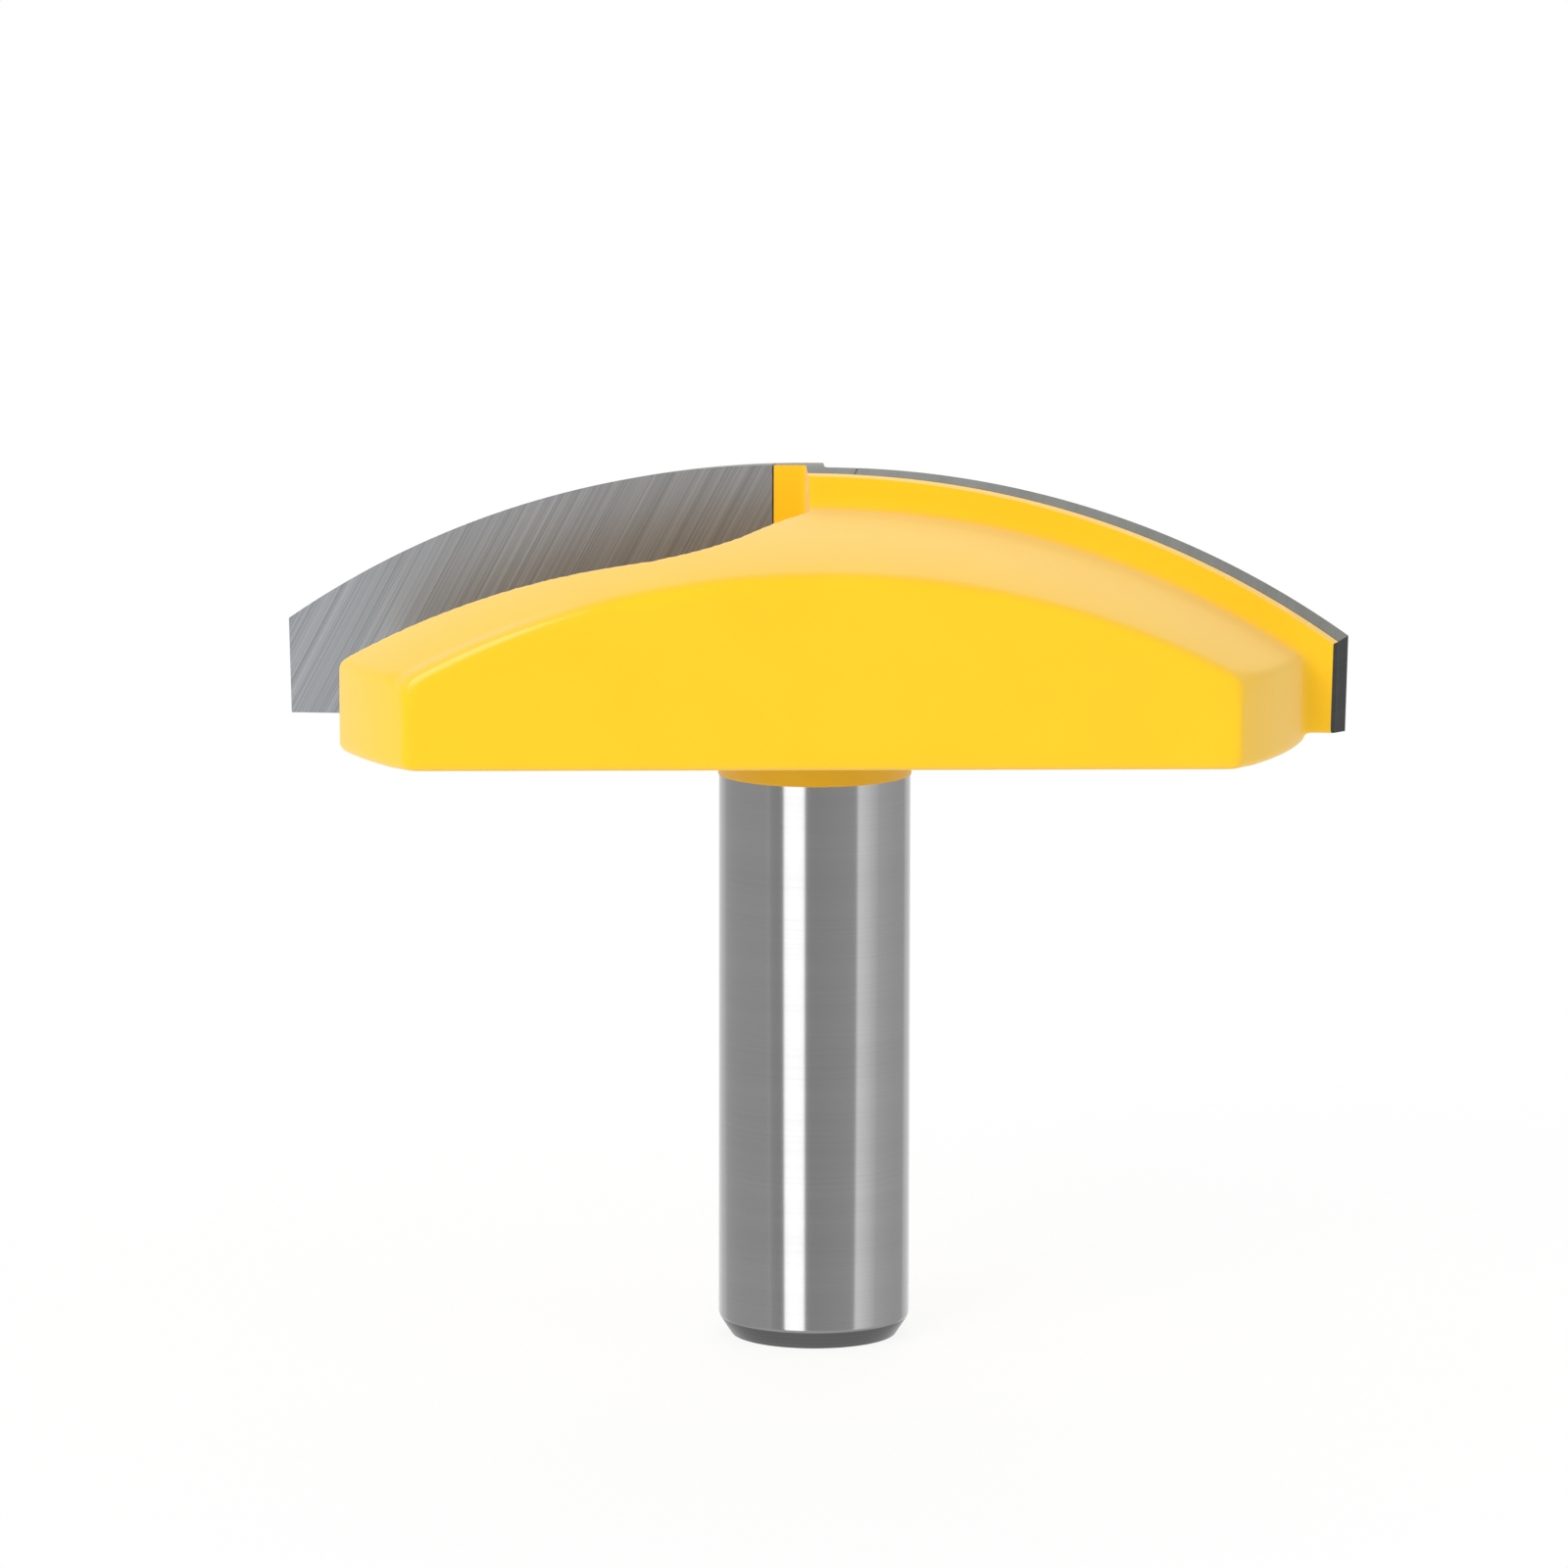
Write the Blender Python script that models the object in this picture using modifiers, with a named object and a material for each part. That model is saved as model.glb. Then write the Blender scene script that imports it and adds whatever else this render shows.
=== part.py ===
"""Bowl router bit: a domed steel head on a plain shank, with two brazed carbide tips.

Metres, +Z up. The origin is the centre of the shank's end face, on which the bit stands,
and the axis of rotation is +Z. The bit is the same after half a turn about that axis.
Seen from above it cuts counter-clockwise, so the rake face of the wing at -X looks to -Y.

Each wing has a frame of its own: s runs outwards along the rake face, n runs at right
angles from the axis to the steel behind the tip, and depth is n counted from the rake face.
"""

import math

import bmesh
import bpy
from mathutils import Matrix, Vector

MM = 0.001

# Shank
SHANK_DIAMETER = 12.7 * MM
SHANK_LENGTH = 40.7 * MM  # from the end face to the underside of the head
CHAMFER_HEIGHT = 1.3 * MM
CHAMFER_DEPTH = 0.85 * MM
NECK_FILLET = 1.2 * MM  # where the shank runs into the underside
PAINT_REACH = 2.9 * MM  # how far the paint runs down the shank

# Cutting profile: an arc in the rake plane, turned about the axis
CUTTING_DIAMETER = 70.4 * MM
EDGE_LENGTH = 6.34 * MM  # of the steep outer edge, from the arc's end down to the tip's bottom
ARC_RADIUS = 58.9 * MM
ARC_OFFSET = 1.4 * MM  # the arc's centre stands this far from the axis

# Head
TIP_PROJECTION = 2.6 * MM  # how far the tips stand out past the head's rim
CROWN_DROP = 2.2 * MM  # how far the crown lies inside the cutting arc
FLAT_WIDTH = 37.0 * MM  # across the two milled flats
CROWN_EDGE_RADIUS = 0.7 * MM
UNDERSIDE_EDGE_RADIUS = 0.6 * MM

# Wings
WING_SKEW = math.radians(7.0)  # the rake face's turn from the flats
RAKE_OFFSET = 0.49 * MM  # the rake face stands this far behind the axis
RADIAL_RELIEF = math.radians(11.0)  # the ground faces fall away behind the edge
AXIAL_RELIEF = math.radians(2.0)
BOTTOM_RELIEF = math.radians(5.5)  # the lower end rises behind the edge
SIDE_TAPER = math.radians(1.3)  # the outer edge leans in towards the underside
BACKING_THICKNESS = 1.0 * MM  # steel rib behind the tip, ground with it
RIB_OVERLAP = 0.6 * MM  # how far each rib runs past the axis, along X
RIB_FOOT_FILLET = 0.7 * MM
RIB_ROOT_DEPTH = 0.02 * MM  # how far the foot fillet ends inside the head
TIP_LIFT = 0.5 * MM  # the tip's lower edge stands this far above the underside

# Carbide tips
TIP_THICKNESS = 2.3 * MM
TIP_HEIGHT = 9.0 * MM  # from the cutting arc down to the tip's lower arc
TIP_INNER_END = 2.9 * MM  # from the axis
BRAZE_GAP = 0.1 * MM

# Gullets, the chip pockets in front of the rake faces
GULLET_THROAT = 13.5 * MM  # from the rake face to the far wall, at the head's rim
GULLET_FLARE = math.radians(4.4)  # the far wall's turn from the rake face
GULLET_END_ANGLE = math.radians(121.0)  # the end wall's turn from the rake face
GULLET_END_START = 0.45 * MM  # from the foot of the other wing's rib to the end wall
GULLET_CORNER_RADIUS = 8.0 * MM
GULLET_HUB_DEPTH = 10.8 * MM  # from the top of the cutting arc to the floor at the axis
GULLET_FLOOR_SLOPE = math.radians(18.0)
GULLET_FLOOR_RADIUS = 1.5 * MM

# Facets
TURN_STEPS = 96
ARC_STEPS = 24
FILLET_STEPS = 4
CORNER_STEPS = 10
MERGE_DISTANCE = 0.01 * MM
HARD_EDGE_ANGLE = math.radians(30.0)

CUTTING_RADIUS = CUTTING_DIAMETER / 2
SHANK_RADIUS = SHANK_DIAMETER / 2
HEAD_RADIUS = CUTTING_RADIUS - TIP_PROJECTION
ARC_FALL = ARC_RADIUS - math.sqrt(ARC_RADIUS**2 - (CUTTING_RADIUS - ARC_OFFSET) ** 2)
HEAD_DEPTH = ARC_FALL + EDGE_LENGTH + TIP_LIFT  # from the top of the arc to the underside
OVERALL_LENGTH = SHANK_LENGTH + HEAD_DEPTH
PAINT_LINE = SHANK_LENGTH - PAINT_REACH
LAND_THICKNESS = TIP_THICKNESS + BACKING_THICKNESS
TIP_BOTTOM = SHANK_LENGTH + TIP_LIFT
OVERCUT = 3.0 * MM  # how far a cutter runs past what it cuts

PAINT_SLOT, STEEL_SLOT = 0, 1


def arc_height(radius, inset):
    """Height, this far from the axis, of the arc that lies this far inside the cutting arc."""
    across = radius - ARC_OFFSET
    return OVERALL_LENGTH - ARC_RADIUS + math.sqrt((ARC_RADIUS - inset) ** 2 - across**2)


def cutting_height(radius):
    """Height of the cutting arc at this distance from the axis."""
    return arc_height(radius, 0.0)


def relief(depth, angle):
    """How far a ground face has fallen away at this depth behind the cutting edge."""
    return max(depth, 0.0) * math.tan(angle)


def spaced(start, end, steps):
    """Evenly spaced values from start to end, both included."""
    return [start + (end - start) * step / steps for step in range(steps + 1)]


def arc(centre, radius, start_degrees, end_degrees, steps):
    """Points of an arc in a plane."""
    angles = [math.radians(a) for a in spaced(start_degrees, end_degrees, steps)]
    return [
        (centre[0] + radius * math.cos(a), centre[1] + radius * math.sin(a))
        for a in angles
    ]


def make_material(name, colour, roughness, metallic):
    """A Principled material."""
    material = bpy.data.materials.new(name)
    material.use_nodes = True
    shader = material.node_tree.nodes["Principled BSDF"]
    shader.inputs["Base Color"].default_value = (*colour, 1.0)
    shader.inputs["Roughness"].default_value = roughness
    shader.inputs["Metallic"].default_value = metallic
    return material


def make_object(name, mesh_builder, collection):
    """An object from a bmesh, with its normals pointing out."""
    bmesh.ops.recalc_face_normals(mesh_builder, faces=mesh_builder.faces)
    mesh = bpy.data.meshes.new(name)
    mesh_builder.to_mesh(mesh)
    mesh_builder.free()
    made = bpy.data.objects.new(name, mesh)
    collection.objects.link(made)
    return made


def make_helper(made):
    """Marks an object as a cutter or other helper."""
    made.hide_render = True
    made.display_type = "WIRE"
    return made


def with_modifiers_applied(made, name, collection):
    """A new object from the evaluated mesh of another one, which is removed."""
    graph = bpy.context.evaluated_depsgraph_get()
    mesh = bpy.data.meshes.new_from_object(made.evaluated_get(graph))
    mesh.name = name
    solid = bpy.data.objects.new(name, mesh)
    solid.matrix_world = made.matrix_world
    collection.objects.link(solid)
    bpy.data.objects.remove(made)
    return solid


def boolean(target, other, operation):
    """Adds one Boolean step to the target."""
    modifier = target.modifiers.new(f"{operation.lower()}_{other.name}", "BOOLEAN")
    modifier.operation = operation
    modifier.object = other


def turned_profile():
    """The blank's outline at +X, from the top of the crown down its outer side to the axis."""
    edge_x = HEAD_RADIUS - CROWN_EDGE_RADIUS
    edge_z = arc_height(edge_x, CROWN_DROP + CROWN_EDGE_RADIUS)
    crown_radius = ARC_RADIUS - CROWN_DROP
    slope = math.asin((edge_x - ARC_OFFSET) / (crown_radius - CROWN_EDGE_RADIUS))
    crown_end = edge_x + CROWN_EDGE_RADIUS * math.sin(slope)
    crown = [
        (radius, arc_height(radius, CROWN_DROP))
        for radius in spaced(0.0, crown_end, ARC_STEPS // 2)
    ]
    edge_start = 90 - math.degrees(slope)
    edge = arc((edge_x, edge_z), CROWN_EDGE_RADIUS, edge_start, 0, FILLET_STEPS)[1:]
    underside = arc(
        (HEAD_RADIUS - UNDERSIDE_EDGE_RADIUS, SHANK_LENGTH + UNDERSIDE_EDGE_RADIUS),
        UNDERSIDE_EDGE_RADIUS,
        0,
        -90,
        FILLET_STEPS,
    )
    neck = arc(
        (SHANK_RADIUS + NECK_FILLET, SHANK_LENGTH - NECK_FILLET),
        NECK_FILLET,
        90,
        180,
        FILLET_STEPS,
    )
    shank = [
        (SHANK_RADIUS, PAINT_LINE),
        (SHANK_RADIUS, CHAMFER_HEIGHT),
        (SHANK_RADIUS - CHAMFER_DEPTH, 0.0),
        (0.0, 0.0),
    ]
    return crown + edge + underside + neck + shank


def make_blank(collection):
    """The turned blank: crown, rim, underside, neck and shank."""
    profile = bmesh.new()
    points = [profile.verts.new((x, 0.0, z)) for x, z in turned_profile()]
    for first, second in zip(points, points[1:]):
        profile.edges.new((first, second))
    mesh = bpy.data.meshes.new("blank_profile")
    profile.to_mesh(mesh)
    profile.free()
    turned = bpy.data.objects.new("blank_profile", mesh)
    collection.objects.link(turned)
    screw = turned.modifiers.new("turn", "SCREW")
    screw.steps = screw.render_steps = TURN_STEPS
    screw.use_merge_vertices = True
    screw.merge_threshold = MERGE_DISTANCE
    return with_modifiers_applied(turned, "body", collection)


def make_flats_block(collection):
    """The block that the blank is cut down to, which leaves the two milled flats."""
    block = bmesh.new()
    bmesh.ops.create_cube(block, size=1.0)
    size = Vector((CUTTING_DIAMETER * 2, FLAT_WIDTH, OVERALL_LENGTH * 2))
    bmesh.ops.scale(block, vec=size, verts=block.verts)
    bmesh.ops.translate(block, vec=(0.0, 0.0, OVERALL_LENGTH / 2), verts=block.verts)
    return make_helper(make_object("flats_block", block, collection))


def wing_matrix(turn):
    """Places a wing's frame: s, n, z to world X, Y, Z."""
    outwards = Vector((-math.cos(WING_SKEW), math.sin(WING_SKEW), 0.0))
    behind = Vector((math.sin(WING_SKEW), math.cos(WING_SKEW), 0.0))
    axes = Matrix((outwards, behind, Vector((0.0, 0.0, 1.0)))).transposed().to_4x4()
    return Matrix.Rotation(turn, 4, "Z") @ axes


def loft(name, sections, frame, collection, ground_levels=0):
    """A solid through sections of equally many (s, z) points, each at its own depth.

    The top and the outer edge are bare steel between the first sections, as many as ground_levels.
    """
    mesh = bmesh.new()
    rings = [
        [mesh.verts.new((s, RAKE_OFFSET + depth, z)) for s, z in outline]
        for depth, outline in sections
    ]
    count = len(rings[0])
    for level, (near, far) in enumerate(zip(rings, rings[1:])):
        for index in range(count):
            after = (index + 1) % count
            face = mesh.faces.new((near[index], near[after], far[after], far[index]))
            if level < ground_levels and index <= ARC_STEPS:
                face.material_index = STEEL_SLOT
    mesh.faces.new(rings[0])
    mesh.faces.new(reversed(rings[-1]))
    bmesh.ops.transform(mesh, matrix=frame, verts=mesh.verts)
    return make_object(name, mesh, collection)


def outer_reach(radius, depth):
    """s of the point at this radius and depth."""
    return math.sqrt(radius**2 - (RAKE_OFFSET + depth) ** 2)


def ground_bottom(depth):
    """Height of the lower edge of what is ground, at this depth."""
    return TIP_BOTTOM + relief(depth, BOTTOM_RELIEF)


def ground_outline(depth, inner_end):
    """Top and outer edge of what is ground to the cutting profile, at this depth."""
    shift = relief(depth, RADIAL_RELIEF)
    fall = relief(depth, AXIAL_RELIEF)
    outer = outer_reach(CUTTING_RADIUS - shift, depth)
    top = [
        (s, cutting_height(math.hypot(s, RAKE_OFFSET + depth) + shift) - fall)
        for s in spaced(inner_end, outer, ARC_STEPS)
    ]
    bottom = ground_bottom(depth)
    taper = (top[-1][1] - bottom) * math.tan(SIDE_TAPER)
    return top + [(outer - taper, bottom)]


def fillet_outline(depth, height, inner_end):
    """Top and outer edge of the rib's foot, this far out from the crown and the rim."""
    outer = outer_reach(HEAD_RADIUS + height, depth)
    top = [
        (s, arc_height(math.hypot(s, RAKE_OFFSET + depth), CROWN_DROP - height))
        for s in spaced(inner_end, outer, ARC_STEPS)
    ]
    return top + [(outer, ground_bottom(LAND_THICKNESS))]


def make_rib(name, frame, collection):
    """The steel rib that stands up behind a tip, with a fillet where it meets the crown.

    Its top is bare where it is ground with the tip, and painted behind that.
    """
    inner_end = -RIB_OVERLAP - OVERCUT
    outlines = [
        (depth, ground_outline(depth, inner_end))
        for depth in (-2 * RAKE_OFFSET - RIB_OVERLAP, 0.0, TIP_THICKNESS, LAND_THICKNESS)
    ]
    ground_levels = len(outlines) - 2
    for angle in spaced(0.0, math.pi / 2, FILLET_STEPS):
        depth = LAND_THICKNESS + RIB_FOOT_FILLET * (1 - math.cos(angle)) + RIB_ROOT_DEPTH
        height = RIB_FOOT_FILLET * (1 - math.sin(angle)) - RIB_ROOT_DEPTH
        outlines.append((depth, fillet_outline(depth, height, inner_end)))
    sections = [
        (depth, outline + [(inner_end, outline[-1][1])]) for depth, outline in outlines
    ]
    return make_helper(loft(name, sections, frame, collection, ground_levels))


def tip_lower_height(s, depth):
    """Height of the tip's lower edge, an arc that ends in the ground bottom."""
    lower_arc = cutting_height(math.hypot(s, RAKE_OFFSET)) - TIP_HEIGHT
    return max(lower_arc, ground_bottom(depth))


def make_tip(name, frame, collection):
    """One carbide tip, ground to the cutting profile with its relief."""
    sections = []
    for depth in (0.0, TIP_THICKNESS):
        outline = ground_outline(depth, TIP_INNER_END)
        outer = outline[-1][0]
        lower = [
            (s, tip_lower_height(s, depth))
            for s in spaced(outer, TIP_INNER_END, ARC_STEPS)
        ]
        sections.append((depth, outline + lower[1:]))
    return loft(name, sections, frame, collection)


def make_seat(name, frame, collection):
    """The pocket for a tip: its back, its inner end and its lower edge, a braze gap away."""
    inner_end = TIP_INNER_END - BRAZE_GAP
    outer = CUTTING_RADIUS + OVERCUT
    ledge = [
        (s, cutting_height(math.hypot(s, RAKE_OFFSET)) - TIP_HEIGHT - BRAZE_GAP)
        for s in spaced(inner_end, CUTTING_RADIUS, ARC_STEPS)
    ]
    above = OVERALL_LENGTH + OVERCUT
    outline = [(inner_end, above), (outer, above)]
    outline += [(outer, ledge[-1][1])] + ledge[::-1]
    sections = [(depth, outline) for depth in (-OVERCUT, TIP_THICKNESS + BRAZE_GAP)]
    return make_helper(loft(name, sections, frame, collection))


def rib_end_point(n):
    """The point of the other wing's rib end, a plane square to the flats, at this n."""
    s = (RIB_OVERLAP + n * math.sin(WING_SKEW)) / math.cos(WING_SKEW)
    return Vector((s, n))


def gullet_plan():
    """The gullet's outline in the wing's frame, from the rake face round to the far wall."""
    reach = CUTTING_RADIUS + OVERCUT
    rake_side = rib_end_point(RAKE_OFFSET)
    rib_foot = RAKE_OFFSET + LAND_THICKNESS + RIB_FOOT_FILLET
    end_start = rib_end_point(-rib_foot - GULLET_END_START)
    rim_reach = outer_reach(HEAD_RADIUS, -GULLET_THROAT)
    rim_point = Vector((rim_reach, RAKE_OFFSET - GULLET_THROAT))
    inwards = Vector((-math.cos(GULLET_FLARE), -math.sin(GULLET_FLARE)))
    along_end = Vector((-math.cos(GULLET_END_ANGLE), -math.sin(GULLET_END_ANGLE)))
    apart = rim_point - end_start
    across = along_end.x * inwards.y - along_end.y * inwards.x
    corner = end_start + along_end * (apart.x * inwards.y - apart.y * inwards.x) / across
    turn = along_end.angle(-inwards)
    trim = GULLET_CORNER_RADIUS * math.tan(turn / 2)
    first = corner - along_end * trim
    centre = first + Vector((-along_end.y, along_end.x)) * GULLET_CORNER_RADIUS
    spoke = first - centre
    rounded = [
        centre + Matrix.Rotation(turn * step / CORNER_STEPS, 2) @ spoke
        for step in range(CORNER_STEPS + 1)
    ]
    far_end = rim_point - inwards * (reach - rim_point.x)
    return [Vector((reach, RAKE_OFFSET)), rake_side, end_start, *rounded, far_end]


def make_gullet(name, frame, collection):
    """The cutter of a chip pocket, with upright walls and a floor that falls outwards."""
    mesh = bmesh.new()
    floor = OVERALL_LENGTH - GULLET_HUB_DEPTH
    bottom = [
        mesh.verts.new((point.x, point.y, floor - point.x * math.tan(GULLET_FLOOR_SLOPE)))
        for point in gullet_plan()
    ]
    lid = bmesh.ops.extrude_face_region(mesh, geom=[mesh.faces.new(bottom)])["geom"]
    for vertex in lid:
        if isinstance(vertex, bmesh.types.BMVert):
            vertex.co.z = OVERALL_LENGTH + OVERCUT
    bmesh.ops.transform(mesh, matrix=frame, verts=mesh.verts)
    cutter = make_helper(make_object(name, mesh, collection))
    weights = cutter.data.attributes.new("bevel_weight_edge", "FLOAT", "EDGE")
    for edge in cutter.data.edges:
        ends = [cutter.data.vertices[index].co.z for index in edge.vertices]
        weights.data[edge.index].value = float(max(ends) < OVERALL_LENGTH)
    rounding = cutter.modifiers.new("floor_radius", "BEVEL")
    rounding.limit_method = "WEIGHT"
    rounding.width = GULLET_FLOOR_RADIUS
    rounding.segments = FILLET_STEPS
    return cutter


def shade_round(made):
    """Smooth shading that keeps the hard edges."""
    made.data.shade_smooth()
    made.data.set_sharp_from_angle(angle=HARD_EDGE_ANGLE)


def build():
    """Makes the body and its two carbide tips."""
    for existing in list(bpy.data.objects):
        bpy.data.objects.remove(existing)
    parts = bpy.data.collections.new("bowl_router_bit")
    cutters = bpy.data.collections.new("cutters")
    bpy.context.scene.collection.children.link(parts)
    bpy.context.scene.collection.children.link(cutters)

    paint = make_material("yellow_paint", (0.98, 0.62, 0.03), 0.30, 0.0)
    steel = make_material("ground_steel", (0.55, 0.55, 0.55), 0.28, 1.0)
    carbide = make_material("tungsten_carbide", (0.30, 0.30, 0.31), 0.35, 1.0)

    body = make_blank(parts)
    body.data.materials.append(paint)
    body.data.materials.append(steel)
    for face in body.data.polygons:
        if face.center.z < PAINT_LINE:
            face.material_index = STEEL_SLOT
    shade_round(body)
    boolean(body, make_flats_block(cutters), "INTERSECT")

    frames = {"left": wing_matrix(0.0), "right": wing_matrix(math.pi)}
    for side, frame in frames.items():
        rib = make_rib(f"rib_{side}", frame, cutters)
        rib.data.materials.append(paint)
        rib.data.materials.append(steel)
        boolean(body, rib, "UNION")
    for side, frame in frames.items():
        boolean(body, make_gullet(f"gullet_{side}", frame, cutters), "DIFFERENCE")
    for side, frame in frames.items():
        boolean(body, make_seat(f"seat_{side}", frame, cutters), "DIFFERENCE")
        tip = make_tip(f"carbide_tip_{side}", frame, parts)
        tip.data.materials.append(carbide)


build()
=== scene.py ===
"""Bowl router bit: the looks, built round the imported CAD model.

The bit stands upright on its shank, with the axis of rotation on +Z. Its steel body was turned
and milled, and two carbide tips were brazed on. Each tip was ground to one shape with the rib
behind it. Gloss enamel covers the head down to a line on the shank, apart from the carbide and
the ribs' outer ends.

Everything is in metres and in the CAD frame. Both wings are alike: the left one is modelled and
the right one is a copy of it, turned half a turn about +Z.
"""

import logging
from collections.abc import Callable, Sequence
from dataclasses import dataclass, field
from enum import Enum
from math import asin, cos, degrees, hypot, pi, radians, sin, sqrt, tan, tau
from typing import Any

import bmesh
import bpy
from bpy.types import Material, Node, NodeSocket, NodeTree, Object, Scene
from mathutils import Matrix, Vector


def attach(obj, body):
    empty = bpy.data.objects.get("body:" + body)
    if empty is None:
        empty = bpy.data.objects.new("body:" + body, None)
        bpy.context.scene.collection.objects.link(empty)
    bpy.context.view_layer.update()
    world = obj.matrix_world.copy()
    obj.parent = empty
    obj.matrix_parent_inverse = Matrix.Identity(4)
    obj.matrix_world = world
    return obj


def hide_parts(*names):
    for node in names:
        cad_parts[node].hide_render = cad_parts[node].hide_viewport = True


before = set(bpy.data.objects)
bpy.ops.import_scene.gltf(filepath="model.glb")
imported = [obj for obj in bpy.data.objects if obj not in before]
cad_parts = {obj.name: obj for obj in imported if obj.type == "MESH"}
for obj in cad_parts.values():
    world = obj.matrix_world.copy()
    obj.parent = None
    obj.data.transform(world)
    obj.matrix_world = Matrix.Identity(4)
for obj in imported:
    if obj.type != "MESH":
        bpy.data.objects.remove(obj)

MM = 0.001
MERGE_DISTANCE = 0.001 * MM
TURN_STEPS = 192
LYING = 0.4  # a face lies rather than stands where its normal rises or falls by more than this
FACING = 0.9  # a face looks in a direction where that much of its normal points there
UPWARDS = Vector((0.0, 0.0, 1.0))
WHITE = (1.0, 1.0, 1.0, 1.0)

log = logging.getLogger("bowl_router_bit")

Outline = list[tuple[float, float]]
FaceTest = Callable[[Vector, Vector], bool]


class WingSide(Enum):
    """The two wings, each by the side of the axis on which it stands."""

    LEFT = "left"
    RIGHT = "right"

    @property
    def turn(self) -> float:
        """How far this wing is turned about the axis from the left one."""
        return 0.0 if self is WingSide.LEFT else pi


class Cut(Enum):
    """What a second solid does to the first one."""

    ADD = "UNION"
    REMOVE = "DIFFERENCE"


def spaced(start: float, end: float, steps: int) -> list[float]:
    """Gives evenly spaced values from start to end, both included: one more than the steps."""
    return [start + (end - start) * step / steps for step in range(steps + 1)]


def corner_arc(centre: tuple[float, float], radius: float, start: float, end: float, steps: int) -> Outline:
    """Gives the points of a rounded corner in a flat outline, between two angles in degrees."""
    angles = [radians(angle) for angle in spaced(start, end, steps)]
    return [(centre[0] + radius * cos(a), centre[1] + radius * sin(a)) for a in angles]


def linear(code: str) -> tuple[float, float, float, float]:
    """Turns an sRGB hex colour to the linear colour that a shader takes.

    Args:
        code: The colour, such as "#FFCC00".

    Returns:
        Red, green, blue and an alpha of 1.
    """
    parts = [int(code[start : start + 2], 16) / 255 for start in (1, 3, 5)]
    red, green, blue = (c / 12.92 if c <= 0.04045 else ((c + 0.055) / 1.055) ** 2.4 for c in parts)
    return red, green, blue, 1.0


def add_node(tree: NodeTree, kind: str, settings: dict[str, Any], links: dict[str | int, Any]) -> Node:
    """Adds one node with its settings and links.

    Args:
        tree: The node tree that takes it.
        kind: The node's type, without the ShaderNode that each one starts with.
        settings: Values of the node's own properties.
        links: For an input socket, by name or number, its value or the output that feeds it.

    Returns:
        The node.
    """
    node = tree.nodes.new(f"ShaderNode{kind}")
    for name, value in settings.items():
        setattr(node, name, value)
    for socket, value in links.items():
        if isinstance(value, NodeSocket):
            tree.links.new(value, node.inputs[socket])
        else:
            node.inputs[socket].default_value = value
    return node


def new_material(name: str) -> tuple[Material, NodeTree, Node]:
    """Starts a material.

    Args:
        name: The finish's name.

    Returns:
        The material, its node tree and its Principled shader.
    """
    material = bpy.data.materials.new(name)
    material.use_nodes = True
    tree = material.node_tree
    return material, tree, tree.nodes["Principled BSDF"]


def feed_shader(
    tree: NodeTree, colour: NodeSocket, relief: NodeSocket, height: float, plain: dict[str, float]
) -> None:
    """Feeds a material's Principled shader.

    Args:
        tree: The material's node tree.
        colour: The socket that gives the surface its colour.
        relief: The socket that gives it its bumps.
        height: How high those bumps are.
        plain: What is the same all over the surface, by socket.
    """
    shader = tree.nodes["Principled BSDF"]
    bump = add_node(tree, "Bump", {}, {"Strength": 1.0, "Distance": height, "Height": relief})
    tree.links.new(colour, shader.inputs["Base Color"])
    tree.links.new(bump.outputs["Normal"], shader.inputs["Normal"])
    for socket, value in plain.items():
        shader.inputs[socket].default_value = value


def start_piece(name: str, points: Sequence[Vector]) -> Object:
    """Starts a piece as one run of edges, and leaves it in edit mode.

    Args:
        name: The piece's name.
        points: The run's points, in order.

    Returns:
        The new object.
    """
    bpy.ops.object.select_all(action="DESELECT")
    bpy.ops.mesh.primitive_plane_add(size=MM, location=(0.0, 0.0, 0.0))
    piece = bpy.context.active_object
    piece.name = name
    piece.data.name = name
    bpy.ops.object.mode_set(mode="EDIT")
    bpy.ops.mesh.select_mode(type="VERT")
    bpy.ops.mesh.delete(type="VERT")
    draw_run(points)
    return piece


def draw_run(points: Sequence[Vector]) -> None:
    """Draws a run of edges in edit mode: one vertex, extruded from point to point.

    Args:
        points: The run's points, in order.
    """
    bpy.ops.mesh.select_all(action="DESELECT")
    bpy.ops.mesh.primitive_plane_add(size=MM, location=points[0])
    bpy.ops.mesh.merge(type="CENTER")
    for start, end in zip(points, points[1:]):
        bpy.ops.mesh.extrude_vertices_move(TRANSFORM_OT_translate={"value": end - start})


def select_points(piece: Object, test: Callable[[bmesh.types.BMVert], bool]) -> None:
    """Selects points in edit mode, with the edges and faces that lie between them.

    Args:
        piece: The object in edit mode.
        test: Says of each point whether it is selected.
    """
    bpy.ops.mesh.select_all(action="DESELECT")
    mesh = bmesh.from_edit_mesh(piece.data)
    for vertex in mesh.verts:
        if test(vertex):
            vertex.select_set(True)
    mesh.select_flush(True)
    bmesh.update_edit_mesh(piece.data)


def assign_slots(piece: Object, *tests: FaceTest) -> None:
    """Gives faces the second of a piece's materials, the third and so on; the rest keep the first.

    Args:
        piece: The object, out of edit mode.
        tests: For each of those materials, says of a face's centre and normal whether it takes it.
    """
    make_active(piece)
    bpy.ops.object.mode_set(mode="EDIT")
    for slot, test in enumerate(tests, start=1):
        bpy.ops.mesh.select_all(action="DESELECT")
        bpy.ops.mesh.select_mode(type="FACE")
        mesh = bmesh.from_edit_mesh(piece.data)
        for face in mesh.faces:
            face.select_set(test(face.calc_center_median(), face.normal))
        bmesh.update_edit_mesh(piece.data)
        piece.active_material_index = slot
        bpy.ops.object.material_slot_assign()
    bpy.ops.object.mode_set(mode="OBJECT")


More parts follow.
